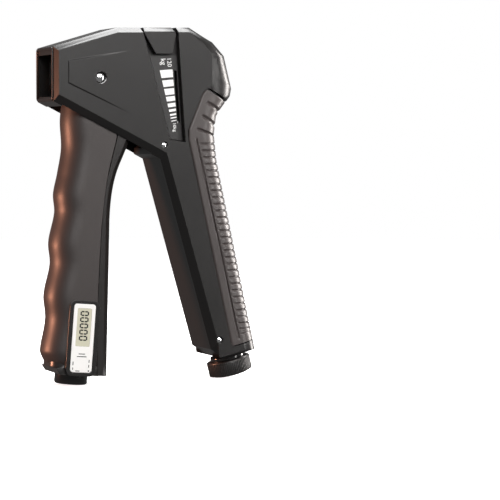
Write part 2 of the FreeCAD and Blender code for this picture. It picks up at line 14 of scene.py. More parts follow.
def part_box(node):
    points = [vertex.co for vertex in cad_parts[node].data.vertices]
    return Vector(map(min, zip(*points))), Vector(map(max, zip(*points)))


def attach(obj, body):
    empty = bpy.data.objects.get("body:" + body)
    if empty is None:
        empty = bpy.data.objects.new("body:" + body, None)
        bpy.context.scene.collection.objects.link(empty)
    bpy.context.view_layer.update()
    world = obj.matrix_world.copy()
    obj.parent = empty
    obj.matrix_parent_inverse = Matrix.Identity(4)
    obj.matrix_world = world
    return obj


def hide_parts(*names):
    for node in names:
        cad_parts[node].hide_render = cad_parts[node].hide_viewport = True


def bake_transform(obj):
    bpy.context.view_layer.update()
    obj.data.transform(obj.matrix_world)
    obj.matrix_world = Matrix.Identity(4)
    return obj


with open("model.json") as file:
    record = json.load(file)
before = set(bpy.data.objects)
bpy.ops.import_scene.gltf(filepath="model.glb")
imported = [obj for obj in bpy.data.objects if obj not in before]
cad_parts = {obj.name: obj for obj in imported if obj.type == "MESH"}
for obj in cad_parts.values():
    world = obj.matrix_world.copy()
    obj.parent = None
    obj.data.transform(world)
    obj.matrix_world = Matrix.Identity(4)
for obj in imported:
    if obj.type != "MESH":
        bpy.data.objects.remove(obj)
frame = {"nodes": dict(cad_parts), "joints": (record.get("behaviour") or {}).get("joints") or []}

LOG = logging.getLogger("gripper")
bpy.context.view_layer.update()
MM = 0.001
FLAT_FROM = 30e-6       # area in square metres over which a face is shaded flat
FACET_ANGLE = 28.0      # edges sharper than this, in degrees, are rounded
WELD = 2e-6             # points of a CAD mesh closer than this, in metres, are one
ROUND_STEPS = 96        # sides of a turned piece
SCREW_X = 35.0          # where the screw axis crosses the main pin's height
PIVOT = Vector(next(j["pos_m"] for j in frame["joints"] if j["name"] == "squeeze"))
HANDLE_TILT = math.radians(4.5)
SCREW_TILT = math.radians(14.0)

Point = tuple[float, float, float]
Pair = tuple[float, float]


def at(x: float, y: float, z: float) -> Vector:
    """Place in metres for millimetres counted from the main pin."""
    return PIVOT + Vector((x, y, z)) * MM


def along_screw(distance: float) -> Vector:
    """Place at a distance in millimetres down the screw axis."""
    x = SCREW_X + distance * math.sin(SCREW_TILT)
    return at(x, 0.0, -distance * math.cos(SCREW_TILT))


def on_curve(points: Sequence[Pair], z: float) -> float:
    """Smooth line through given points.

    Args:
        points: (x, z) pairs, from the top down.
        z: height to read the line at.

    Returns:
        x at that height.
    """
    last = len(points) - 1
    i = next((k for k in range(last) if z >= points[k + 1][1]), last - 1)
    (x1, z1), (x2, z2) = points[i], points[i + 1]
    x0, z0 = points[max(i - 1, 0)]
    x3, z3 = points[min(i + 2, last)]
    span = z2 - z1
    start = (x2 - x0) / (z2 - z0) * span
    end = (x3 - x1) / (z3 - z1) * span
    t = min(max((z - z1) / span, 0.0), 1.0)
    cube, square = t ** 3, t ** 2
    return (
        (2 * cube - 3 * square + 1) * x1 + (cube - 2 * square + t) * start
        + (3 * square - 2 * cube) * x2 + (cube - square) * end
    )


def ease(low: float, high: float, value: float) -> float:
    """Smooth step from 0 at low to 1 at high."""
    t = min(max((value - low) / (high - low), 0.0), 1.0)
    return t * t * (3 - 2 * t)


def pulse(distance: float, width: float) -> float:
    """Rounded groove: 1 at its middle, 0 from half its width."""
    return 1 - ease(0.0, width / 2, abs(distance))


# Shader language


class Wire:
    """A shader socket that takes part in Python arithmetic."""

    def __init__(self, net: "Net", socket: bpy.types.NodeSocket) -> None:
        """Keeps the socket and the net that it belongs to."""
        self.net = net
        self.socket = socket

    def _math(self, operation: str, first: Any, second: Any) -> "Wire":
        """One Math node."""
        return self.net.add("ShaderNodeMath", {"operation": operation}, {0: first, 1: second})

    def __add__(self, other: Any) -> "Wire":
        """Sum."""
        return self._math("ADD", self, other)

    def __sub__(self, other: Any) -> "Wire":
        """Difference."""
        return self._math("SUBTRACT", self, other)

    def __rsub__(self, other: Any) -> "Wire":
        """Reflected difference."""
        return self._math("SUBTRACT", other, self)

    def __mul__(self, other: Any) -> "Wire":
        """Product."""
        return self._math("MULTIPLY", self, other)

    __radd__ = __add__
    __rmul__ = __mul__


class Net:
    """A material's node tree, with one method for every kind of node."""

    def __init__(self, name: str) -> None:
        """Starts an empty material."""
        self.material = bpy.data.materials.new(name)
        self.material.use_nodes = True
        self.tree = self.material.node_tree
        self.tree.nodes.clear()

    def add(
        self, kind: str, settings: dict[str, Any], inputs: dict[Any, Any], out: Any = 0
    ) -> Wire:
        """Adds a node.

        Args:
            kind: node type.
            settings: properties, set first. "ramp" is a list of (place, colour) stops.
            inputs: values or Wires by socket name or number.
            out: output socket to return.

        Returns:
            The output socket.
        """
        node = self.tree.nodes.new(kind)
        for key, value in settings.items():
            if key == "ramp":
                self._stops(node, value)
            else:
                setattr(node, key, value)
        for key, value in inputs.items():
            if isinstance(value, Wire):
                self.tree.links.new(value.socket, node.inputs[key])
            else:
                node.inputs[key].default_value = value
        return Wire(self, node.outputs[out])

    @staticmethod
    def _stops(node: bpy.types.Node, stops: Sequence[tuple[float, Any]]) -> None:
        """Sets a colour ramp's stops."""
        ramp = node.color_ramp
        while len(ramp.elements) < len(stops):
            ramp.elements.new(0.5)
        for element, (place, colour) in zip(ramp.elements, stops):
            element.position = place
            element.color = colour

    def coordinates(self) -> Wire:
        """Object coordinates, in metres."""
        return self.add("ShaderNodeTexCoord", {}, {}, "Object")

    def noise(self, scale: float, detail: float = 3.0, stretch: Point = (1, 1, 1)) -> Wire:
        """Noise from 0 to 1 on object coordinates."""
        place = self.add("ShaderNodeMapping", {}, {"Vector": self.coordinates(), "Scale": stretch})
        return self.add(
            "ShaderNodeTexNoise", {}, {"Vector": place, "Scale": scale, "Detail": detail}, "Fac"
        )

    def between(self, factor: Wire, first: Point, second: Point) -> Wire:
        """Mixes two colours."""
        return self.add(
            "ShaderNodeMix", {"data_type": "RGBA"},
            {0: factor, 6: (*first, 1.0), 7: (*second, 1.0)}, 2,
        )

    def finish(self, shader: Wire) -> bpy.types.Material:
        """Links the surface and returns the material."""
        output = self.tree.nodes.new("ShaderNodeOutputMaterial")
        self.tree.links.new(shader.socket, output.inputs["Surface"])
        return self.material


@dataclass(frozen=True)
class Finish:
    """A surface finish with colour variation, handling marks and a fine grain.

    Args:
        name: material name.
        dark: colour of the darker patches.
        light: colour of the lighter patches.
        rough: middle roughness.
        rough_spread: how far the roughness wanders.
        grain_mm: size of the moulded grain.
        grain_depth: strength of the grain, 0 to 1.
        metallic: 0 or 1.
        coat: clear coat weight.
        specular: specular level.
        streak: stretch of the patches along X, Y and Z.
        panel: whether it carries the faint raised panel of the head's cheeks.
    """

    name: str
    dark: Point
    light: Point
    rough: float = 0.45
    rough_spread: float = 0.1
    grain_mm: float = 0.35
    grain_depth: float = 0.15
    metallic: float = 0.0
    coat: float = 0.0
    specular: float = 0.5
    streak: Point = (1, 1, 1)
    panel: bool = False

    def raised_panel(self, net: Net, grain: Wire) -> Wire:
        """Normal with the faint raised panel on the head's cheeks, whose edges fade to the rear."""
        split = net.add("ShaderNodeSeparateXYZ", {}, {"Vector": net.coordinates()})
        x = Wire(net, split.socket.node.outputs["X"]) - PIVOT.x
        z = Wire(net, split.socket.node.outputs["Z"]) - PIVOT.z
        front = x + 0.0154
        top = 0.0099 - z + x * 0.17
        bottom = z + 0.0097 + x * 0.46
        nearest = net.add("ShaderNodeMath", {"operation": "MINIMUM"}, {0: front, 1: top})
        nearest = net.add("ShaderNodeMath", {"operation": "MINIMUM"}, {0: nearest, 1: bottom})
        step = net.add("ShaderNodeMapRange", {"interpolation_type": "SMOOTHSTEP"}, {
            "Value": nearest, "From Min": -0.0004, "From Max": 0.0004,
        })
        fade = net.add("ShaderNodeMapRange", {"interpolation_type": "SMOOTHSTEP"}, {
            "Value": x, "From Min": -0.010, "From Max": 0.016, "To Min": 1.0, "To Max": 0.0,
        })
        return net.add("ShaderNodeBump", {}, {
            "Strength": 0.8, "Distance": 0.0004, "Height": step * fade, "Normal": grain,
        })

    def build(self) -> bpy.types.Material:
        """Makes the material."""
        net = Net(self.name)
        patches = net.noise(45.0, 4.0, self.streak)
        marks = net.noise(320.0, 5.0, self.streak)
        grain = net.noise(1.0 / (self.grain_mm * MM), 2.0, self.streak)
        colour = net.between(patches, self.dark, self.light)
        rough = self.rough + (patches * 0.5 + marks * 0.5 - 0.5) * (2 * self.rough_spread)
        normal = net.add(
            "ShaderNodeBump", {},
            {"Strength": self.grain_depth, "Distance": 0.00006, "Height": grain},
        )
        if self.panel:
            normal = self.raised_panel(net, normal)
        shader = net.add("ShaderNodeBsdfPrincipled", {}, {
            "Base Color": colour, "Roughness": rough, "Metallic": self.metallic,
            "Coat Weight": self.coat, "Coat Roughness": 0.08, "Specular IOR Level": self.specular,
            "Normal": normal,
        })
        return net.finish(shader)


class Look(Enum):
    """Every finish on the gripper."""

    HOUSING = Finish(
        "housing_satin", (0.0085, 0.0079, 0.0077), (0.0125, 0.0116, 0.0113), 0.34, 0.05,
        specular=0.42, panel=True,
    )
    HANDLE = Finish("handle_satin", (0.0150, 0.0135, 0.0130), (0.0200, 0.0180, 0.0172), 0.30, 0.05)
    FRONT_RUBBER = Finish(
        "front_rubber", (0.030, 0.0245, 0.0235), (0.040, 0.032, 0.030), 0.46, 0.06, 0.5, 0.2,
    )
    REAR_RUBBER = Finish(
        "rear_rubber", (0.046, 0.038, 0.037), (0.062, 0.052, 0.050), 0.38, 0.06, 0.5, 0.2,
    )
    KNOB = Finish("knob_satin", (0.019, 0.018, 0.018), (0.027, 0.0255, 0.025), 0.38, 0.06)
    BUTTON = Finish(
        "button_gloss", (0.004, 0.004, 0.004), (0.007, 0.0065, 0.0065), 0.14, 0.04, 0.4, 0.02,
        coat=0.4,
    )
    COLLAR = Finish(
        "collar_gloss", (0.008, 0.008, 0.008), (0.012, 0.0115, 0.011), 0.16, 0.05, 0.3, 0.02,
        coat=0.5,
    )
    INSIDE = Finish("inside_black", (0.006, 0.006, 0.006), (0.010, 0.009, 0.009), 0.6, 0.08)
    PLATE = Finish("scale_plate", (0.010, 0.0095, 0.0095), (0.014, 0.013, 0.013), 0.45, 0.06)
    PRINT = Finish("white_print", (0.93, 0.93, 0.92), (0.98, 0.98, 0.97), 0.5, 0.08, 0.2, 0.08)
    PANEL = Finish("panel_white", (0.90, 0.885, 0.865), (0.96, 0.945, 0.925), 0.38, 0.06, 0.3, 0.05)
    LCD = Finish(
        "lcd_khaki", (0.60, 0.58, 0.45), (0.68, 0.66, 0.52), 0.25, 0.04, 0.3, 0.02, coat=0.3,
    )
    DIGIT = Finish("lcd_digit", (0.004, 0.004, 0.003), (0.008, 0.008, 0.006), 0.35, 0.05, 0.3, 0.02)
    CHROME = Finish(
        "pin_chrome", (0.80, 0.80, 0.81), (0.88, 0.88, 0.89), 0.06, 0.03, 0.3, 0.02, metallic=1.0,
    )
    STEEL = Finish(
        "inner_steel", (0.42, 0.42, 0.43), (0.55, 0.55, 0.56), 0.3, 0.08, 0.3, 0.1, metallic=1.0,
        streak=(1, 1, 6),
    )
    SPRING = Finish(
        "spring_steel", (0.16, 0.16, 0.17), (0.25, 0.25, 0.26), 0.34, 0.1, 0.3, 0.1, metallic=1.0,
    )
    BRASS = Finish(
        "bush_brass", (0.62, 0.44, 0.18), (0.76, 0.57, 0.28), 0.25, 0.08, 0.3, 0.1, metallic=1.0,
    )
    BOARD = Finish("circuit_board", (0.02, 0.12, 0.05), (0.03, 0.18, 0.07), 0.4, 0.08)


# Each finish's material, once it is made.
MADE: dict[Look, bpy.types.Material] = {}


def material(look: Look) -> bpy.types.Material:
    """A finish's material, made once."""
    if look not in MADE:
        MADE[look] = look.value.build()
    return MADE[look]


def dress(piece: bpy.types.Object, look: Look) -> None:
    """Gives a piece one finish."""
    piece.data.materials.clear()
    piece.data.materials.append(material(look))


def dress_nodes(looks: dict[str, Look]) -> None:
    """Gives CAD nodes their finishes."""
    for node, look in looks.items():
        dress(frame["nodes"][node], look)


# Meshes


@dataclass(frozen=True)
class Bend:
    """A piece that spans two bodies across their joint; it is baked in place on neither body and
    does not bend.

    Args:
        fixed: body that the piece would follow before start; not used except in the log.
        moving: body that it would follow past end; not used except in the log.
        start: where the bend would start; not used except in the log.
        end: where it would end; not used except in the log.
    """

    fixed: str
    moving: str
    start: Vector
    end: Vector


def new_piece(name: str, mesh: bpy.types.Mesh, look: Look, body: str | Bend) -> bpy.types.Object:
    """Links a mesh as a piece that rides on a body, or, given a Bend, one baked in place on no
    body.
    """
    piece = bpy.data.objects.new(name, mesh)
    bpy.context.scene.collection.objects.link(piece)
    dress(piece, look)
    if isinstance(body, Bend):
        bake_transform(piece)
    else:
        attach(piece, body)
    LOG.info("%s on %s: %d faces", name, body, len(mesh.polygons))
    return piece


def to_mesh(name: str, shape: bmesh.types.BMesh) -> bpy.types.Mesh:
    """A mesh from a finished bmesh, which is freed."""
    mesh = bpy.data.meshes.new(name)
    shape.to_mesh(mesh)
    shape.free()
    return mesh


def settled(piece: bpy.types.Object) -> bpy.types.Mesh:
    """The mesh with its modifiers applied; the piece itself is removed."""
    bpy.context.view_layer.update()
    graph = bpy.context.evaluated_depsgraph_get()
    mesh = bpy.data.meshes.new_from_object(piece.evaluated_get(graph))
    bpy.data.objects.remove(piece)
    return mesh


def temporary(name: str, mesh: bpy.types.Mesh) -> bpy.types.Object:
    """An object that only carries modifiers for a moment."""
    piece = bpy.data.objects.new(name, mesh)
    bpy.context.scene.collection.objects.link(piece)
    return piece


def smooth(mesh: bpy.types.Mesh, angle: float = 32.0) -> bpy.types.Mesh:
    """Smooth shading with edges kept sharp from an angle in degrees."""
    for polygon in mesh.polygons:
        polygon.use_smooth = True
    mesh.set_sharp_from_angle(angle=math.radians(angle))
    return mesh


def closed(mesh: bpy.types.Mesh) -> bpy.types.Mesh:
    """Welds points that lie on each other and fills the slits that are left."""
    shape = bmesh.new()
    shape.from_mesh(mesh)
    bmesh.ops.remove_doubles(shape, verts=shape.verts, dist=1e-7)
    bmesh.ops.dissolve_degenerate(shape, edges=shape.edges, dist=1e-7)
    loose = [edge for edge in shape.edges if edge.is_wire]
    bmesh.ops.delete(shape, geom=loose, context="EDGES")
    rims = [edge for edge in shape.edges if edge.is_boundary]
    bmesh.ops.holes_fill(shape, edges=rims, sides=0)
    bmesh.ops.recalc_face_normals(shape, faces=shape.faces)
    shape.to_mesh(mesh)
    shape.free()
    return mesh


def refined(node: str, bevel_mm: float, look: Look, body: str | Bend) -> bpy.types.Object:
    """A copy of a CAD piece with flat faces merged and its edges softly rounded.

    Args:
        node: CAD node.
        bevel_mm: width of the rounded edges.
        look: finish.
        body: body to ride on, or a Bend, which leaves the piece baked in place on no body.

    Returns:
        The piece that stands for the node.
    """
    source = frame["nodes"][node].data.copy()
    shape = bmesh.new()
    shape.from_mesh(source)
    bmesh.ops.remove_doubles(shape, verts=shape.verts, dist=WELD)
    bmesh.ops.dissolve_limit(
        shape, angle_limit=math.radians(0.8), verts=shape.verts, edges=shape.edges,
        delimit={"NORMAL"},
    )
    shape.to_mesh(source)
    shape.free()
    for polygon in source.polygons:
        polygon.use_smooth = True
    carrier = temporary(node + "_work", source)
    if bevel_mm > 0:
        bevel = carrier.modifiers.new("edge", "BEVEL")
        bevel.width = bevel_mm * MM
        bevel.segments = 2
        bevel.limit_method = "ANGLE"
        bevel.angle_limit = math.radians(FACET_ANGLE)
    mesh = smooth(settled(carrier))
    for polygon in mesh.polygons:
        polygon.use_smooth = polygon.area < FLAT_FROM
    piece = new_piece(node + "_finished", mesh, look, body)
    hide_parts(node)
    return piece


def grid_mesh(name: str, rows: Sequence[Sequence[Vector]]) -> bpy.types.Mesh:
    """Quads between rows of equal length."""
    wide = len(rows[0])
    points = [tuple(p) for row in rows for p in row]
    faces = []
    for r in range(len(rows) - 1):
        for c in range(wide - 1):
            k = r * wide + c
            faces.append((k, k + 1, k + wide + 1, k + wide))
    mesh = bpy.data.meshes.new(name)
    mesh.from_pydata(points, [], faces)
    mesh.update()
    return mesh


def skin(mesh: bpy.types.Mesh, thickness_mm: float, inward_point: Vector) -> bpy.types.Mesh:
    """Closes an open sheet into a shell that grows towards a point inside."""
    shape = bmesh.new()
    shape.from_mesh(mesh)
    shape.faces.ensure_lookup_table()
    middle = shape.faces[len(shape.faces) // 2]
    if middle.normal.dot(middle.calc_center_median() - inward_point) < 0:
        bmesh.ops.reverse_faces(shape, faces=shape.faces)
    shape.to_mesh(mesh)
    shape.free()
    carrier = temporary("skin_work", mesh)
    wall = carrier.modifiers.new("wall", "SOLIDIFY")
    wall.thickness = thickness_mm * MM
    wall.offset = -1.0
    return smooth(settled(carrier), 50.0)


def turned(profile: Sequence[Pair], steps: int, frame_of: Matrix) -> bpy.types.Mesh:
    """Lathe a closed-ended profile of (radius, height) in mm about Z, then place it."""
    shape = bmesh.new()
    rings = []
    for radius, height in profile:
        if radius < 1e-6:
            rings.append([shape.verts.new((0, 0, height * MM))])
            continue
        ring = []
        for i in range(steps):
            angle = 2 * math.pi * i / steps
            place = Vector((radius * math.cos(angle), radius * math.sin(angle), height)) * MM
            ring.append(shape.verts.new(place))
        rings.append(ring)
    for low, high in zip(rings, rings[1:]):
        for i in range(steps):
            j = (i + 1) % steps
            if len(low) == 1:
                shape.faces.new((low[0], high[j], high[i]))
            elif len(high) == 1:
                shape.faces.new((low[i], low[j], high[0]))
            else:
                shape.faces.new((low[i], low[j], high[j], high[i]))
    bmesh.ops.recalc_face_normals(shape, faces=shape.faces)
    bmesh.ops.transform(shape, matrix=frame_of, verts=shape.verts)
    return to_mesh("turned", shape)


def box_mesh(name: str, size: Point, frame_of: Matrix, bevel: float = 0.0) -> bpy.types.Mesh:
    """A block with rounded edges, sizes in mm."""
    shape = bmesh.new()
    bmesh.ops.create_cube(shape, size=1.0)
    bmesh.ops.scale(shape, vec=Vector(size) * MM, verts=shape.verts)
    if bevel > 0:
        bmesh.ops.bevel(
            shape, geom=shape.edges, offset=bevel * MM, segments=2, affect="EDGES", profile=0.5
        )
    bmesh.ops.transform(shape, matrix=frame_of, verts=shape.verts)
    return to_mesh(name, shape)


class Repeater:
    """A Geometry Nodes tree that repeats a piece along a line or round a circle."""

    def __init__(self, name: str, unit: bpy.types.Object, look: Look) -> None:
        """Starts a tree for one unit piece and its finish."""
        self.tree = bpy.data.node_groups.new(name, "GeometryNodeTree")
        self.unit = unit
        self.look = look
        face = self.tree.interface
        face.new_socket("Geometry", in_out="INPUT", socket_type="NodeSocketGeometry")
        face.new_socket("Count", in_out="INPUT", socket_type="NodeSocketInt")
        face.new_socket("Radius", in_out="INPUT", socket_type="NodeSocketFloat")
        face.new_socket("Step", in_out="INPUT", socket_type="NodeSocketVector")
        face.new_socket("Geometry", in_out="OUTPUT", socket_type="NodeSocketGeometry")
        self.group_in = self.tree.nodes.new("NodeGroupInput")
        self.group_out = self.tree.nodes.new("NodeGroupOutput")

    def _node(self, kind: str, **settings: Any) -> bpy.types.Node:
        """Adds a node with its settings."""
        node = self.tree.nodes.new(kind)
        for key, value in settings.items():
            setattr(node, key, value)
        return node

    def _link(self, source: bpy.types.NodeSocket, target: bpy.types.NodeSocket) -> None:
        """Links two sockets."""
        self.tree.links.new(source, target)

    def _finish(self, points: bpy.types.NodeSocket, rotation: Any = None) -> None:
        """Instances the unit on the points, realizes it and sets its material."""
        info = self._node("GeometryNodeObjectInfo")
        info.inputs["Object"].default_value = self.unit
        spread = self._node("GeometryNodeInstanceOnPoints")
        real = self._node("GeometryNodeRealizeInstances")
        paint = self._node("GeometryNodeSetMaterial")
        paint.inputs["Material"].default_value = material(self.look)
        self._link(points, spread.inputs["Points"])
        self._link(info.outputs["Geometry"], spread.inputs["Instance"])
        if rotation is not None:
            self._link(rotation, spread.inputs["Rotation"])
        self._link(spread.outputs["Instances"], real.inputs["Geometry"])
        self._link(real.outputs["Geometry"], paint.inputs["Geometry"])
        self._link(paint.outputs["Geometry"], self.group_out.inputs["Geometry"])

    def line(self) -> "Repeater":
        """Copies the unit along a line, Step apart."""
        row = self._node("GeometryNodeMeshLine", mode="OFFSET")
        self._link(self.group_in.outputs["Count"], row.inputs["Count"])
        self._link(self.group_in.outputs["Step"], row.inputs["Offset"])
        self._finish(row.outputs["Mesh"])
        return self

    def circle(self) -> "Repeater":
        """Copies the unit round a circle of Radius, turned to face outwards."""
        ring = self._node("GeometryNodeMeshCircle")
        self._link(self.group_in.outputs["Count"], ring.inputs["Vertices"])
        self._link(self.group_in.outputs["Radius"], ring.inputs["Radius"])
        place = self._node("GeometryNodeInputPosition")
        turn = self._node("FunctionNodeAlignEulerToVector", axis="X")
        self._link(place.outputs["Position"], turn.inputs["Vector"])
        self._finish(ring.outputs["Mesh"], turn.outputs["Rotation"])
        return self

    def mesh(
        self, name: str, count: int, radius: float, step: Point, frame_of: Matrix
    ) -> bpy.types.Mesh:
        """Evaluates the tree.

        Args:
            name: mesh name.
            count: number of copies.
            radius: circle radius in metres.
            step: offset between copies on a line, in metres.
            frame_of: placement of the result.

        Returns:
            A plain mesh.
        """
        carrier = temporary(name + "_work", bpy.data.meshes.new(name))
        modifier = carrier.modifiers.new("repeat", "NODES")
        modifier.node_group = self.tree
        values = {"Count": count, "Radius": radius, "Step": step}
        for item in self.tree.interface.items_tree:
            if item.in_out == "INPUT" and item.name in values:
                modifier[item.identifier] = values[item.name]
        mesh = settled(carrier)
        mesh.transform(frame_of)
        bpy.data.objects.remove(self.unit)
        return mesh


def screw_frame(distance: float) -> Matrix:
    """Placement with Z up the screw axis, at a distance down it."""
    return Matrix.Translation(along_screw(distance)) @ Matrix.Rotation(-SCREW_TILT, 4, "Y")


def handle_frame(x: float, y: float, z: float) -> Matrix:
    """Placement that leans with the front handle."""
    return Matrix.Translation(at(x, y, z)) @ Matrix.Rotation(HANDLE_TILT, 4, "Y")


# Sub-assemblies


@dataclass
class Housing:
    """The head and the rear handle's shells, with the pieces fixed to them.

    Args:
        edge: width of the rounded edges, in mm.
        slope_width: width of the recess's sloped wall, in mm.
        small: rounded edge and finish of each small piece.
    """

    edge: float = 0.3
    slope_width: float = 1.45
    small: dict[str, tuple[float, Look]] = field(default_factory=lambda: {
        "nose_frame": (0.35, Look.HOUSING),
        "top_clip": (0.3, Look.HOUSING),
        "main_pin": (0.0, Look.CHROME),
        "pivot_screw": (0.0, Look.CHROME),
        "housing_pins": (0.0, Look.CHROME),
        "counter_magnet": (0.2, Look.STEEL),
    })

    def recess_slope(self, side: int) -> None:
        """Sloped wall along the front of the scale's recess.

        Args:
            side: -1 for the left cheek, 1 for the right one.
        """
        shape = bmesh.new()
        rims = []
        section = (
            (0.02, 14.85), (0.25, 14.85), (self.slope_width, 12.1), (self.slope_width, 12.02),
            (0.02, 12.02),
        )
        for x, z in ((21.1, 17.3), (33.0, -27.7)):
            rims.append([shape.verts.new(at(x + dx, side * y, z)) for dx, y in section])
        for i in range(5):
            j = (i + 1) % 5
            shape.faces.new((rims[0][i], rims[0][j], rims[1][j], rims[1][i]))
        shape.faces.new(rims[0])
        shape.faces.new(list(reversed(rims[1])))
        bmesh.ops.recalc_face_normals(shape, faces=shape.faces)
        mesh = to_mesh("recess_slope", shape)
        name = "recess_slope_left" if side < 0 else "recess_slope_right"
        new_piece(name, mesh, Look.HOUSING, "root")

    def build(self) -> None:
        """Makes the shells and the small pieces."""
        for side in (-1, 1):
            self.recess_slope(side)
        for node in ("housing_left", "housing_right"):
            refined(node, self.edge, Look.HOUSING, "root")
        for node, (bevel, look) in self.small.items():
            refined(node, bevel, look, "root")
        # Across the coil, from the rear leg to the front leg.
        twist = Bend("root", "front_handle", at(4.8, 0.0, 3.6), at(-5.2, 0.0, -3.9))
        refined("torsion_spring", 0.0, Look.SPRING, twist)
        dress_nodes({
            "open_stop": Look.INSIDE, "spring_spool": Look.INSIDE, "screw_bearing_top": Look.INSIDE,
            "screw_bearing_bottom": Look.INSIDE, "case_screws": Look.STEEL,
            "scale_plate_left": Look.PLATE, "scale_plate_right": Look.PLATE,
        })


@dataclass
class RearGrip:
    """Ribbed rubber over the back of the rear handle.

    Args:
        half: half thickness, mm.
        flat_half: half width of the back's flat middle, mm.
        pitch: distance between fine ribs, mm.
        fine_depth: depth of the fine grooves, mm.
        bold_depth: depth of the three bold grooves, mm.
        seam_gap: gap at the seam, mm.
        rows: rows of faces down the grip.
        seam: (x, z) of the seam with the shell, from the top down.
        back: the same for the back.
        bend: the same for where the side turns into the back.
        channel: the same for the line in front of the ribs.
    """

    half: float = 15.0
    flat_half: float = 5.0
    pitch: float = 3.1
    fine_depth: float = 0.55
    bold_depth: float = 0.8
    seam_gap: float = 0.2
    rows: int = 520
    seam: tuple[Pair, ...] = (
        (50.9, -4.8), (48.9, -7.4), (45.4, -16.0), (42.4, -23.4), (42.4, -28.5), (45.4, -42.3),
        (54.3, -82.5), (63.1, -122.0), (63.6, -124.4),
    )
    back: tuple[Pair, ...] = (
        (66.5, -6.0), (66.2, -8.0), (59.0, -17.3), (57.9, -25.7), (59.2, -37.7), (68.6, -80.9),
        (78.6, -126.5),
    )
    bend: tuple[Pair, ...] = (
        (53.6, -2.0), (53.2, -5.0), (50.4, -14.5), (49.2, -26.0), (50.4, -38.5), (60.0, -80.9),
        (70.4, -126.3),
    )
    channel: tuple[Pair, ...] = ((46.4, -28.4), (53.1, -57.1), (59.1, -83.1), (67.5, -121.0))

    def straight(self, points: Sequence[Pair], z: float) -> float:
        """Reads a line of straight stretches at a height."""
        for (x1, z1), (x2, z2) in zip(points, points[1:]):
            if z >= z2:
                return x1 + (x2 - x1) * (z - z1) / (z2 - z1)
        (x1, z1), (x2, z2) = points[-2], points[-1]
        return x1 + (x2 - x1) * (z - z1) / (z2 - z1)

    def slope(self, z: float) -> float:
        """Fall of a row towards the back: steep at the top, level in the ribs, then rising."""
        if z > -30.0:
            return 0.5 * ease(-30.0, -16.0, z)
        return -0.249 * (1 - ease(-124.0, -112.0, z))

    def columns(self) -> list[tuple[str, float]]:
        """Stations round the section: along the side, round the corner, across the back."""
        side = [("side", i / 16) for i in range(16)]
        arc = [("arc", i / 12) for i in range(13)]
        back = [("back", i / 6) for i in range(1, 4)]
        near = side + arc + back
        far = [(kind + "_far", t) for kind, t in reversed(near[:-1])]
        return near + far

    def depth(self, x: float, z: float, row_z: float, edge: float) -> float:
        """How deep the surface lies under the smooth form, in mm."""
        channel_x = self.straight(self.channel, z)
        in_ribs = ease(-28.6, -30.2, row_z) * (1 - ease(-119.0, -120.6, row_z))
        behind = ease(0.9, 1.9, x - channel_x)
        phase = (row_z + 30.0) / self.pitch
        fine = pulse((phase - round(phase)) * self.pitch, 1.15) * self.fine_depth
        fine *= in_ribs * behind
        line = pulse(x - channel_x, 0.9) * 0.7
        line *= ease(-27.0, -28.5, z) * (1 - ease(-120.5, -121.6, z))
        bold = 0.0
        for level in (-9.4, -15.6, -22.2):
            start = ease(3.6, 5.2, x - self.straight(self.seam, z))
            bold = max(bold, pulse(row_z - level, 2.2) * self.bold_depth * start)
        return max(fine, line, bold) + 0.55 * (1 - ease(0.0, 0.6, edge))

    def point(self, kind: str, t: float, row_z: float) -> Vector:
        """One surface point of the grip."""
        far = kind.endswith("_far")
        kind = kind.replace("_far", "")
        seam_x = self.straight(self.seam, row_z) + self.seam_gap
        x, z = seam_x, row_z
        y = self.half
        for _ in range(4):
            back_x = self.straight(self.back, z)
            bend_x = self.straight(self.bend, z)
            if kind == "side":
                x = seam_x + (bend_x - seam_x) * t
            elif kind == "arc":
                angle = t * math.pi / 2
                x = bend_x + (back_x - bend_x) * math.sin(angle)
                y = self.flat_half + (self.half - self.flat_half) * math.cos(angle)
            else:
                x = back_x
                y = self.flat_half * (1 - 2 * t)
            z = row_z - self.slope(row_z) * (x - seam_x)
        edge = min(x - seam_x + 0.001, row_z + 125.0, -4.6 - row_z)
        sink = self.depth(x, z, row_z, edge)
        if kind == "side":
            y -= sink
        elif kind == "arc":
            angle = t * math.pi / 2
            x -= sink * math.sin(angle)
            y -= sink * math.cos(angle)
        else:
            x -= sink
        return at(x, y if far else -y, z)

    def build(self) -> None:
        """Makes the ribbed skin."""
        top, bottom = -4.9, -124.3
        rows = []
        for r in range(self.rows + 1):
            row_z = top + (bottom - top) * r / self.rows
            rows.append([self.point(kind, t, row_z) for kind, t in self.columns()])
        mesh = skin(grid_mesh("rear_grip", rows), 1.6, along_screw(70.0))
        piece = new_piece("rear_grip_ribbed", mesh, Look.REAR_RUBBER, "root")
        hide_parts("rear_grip")


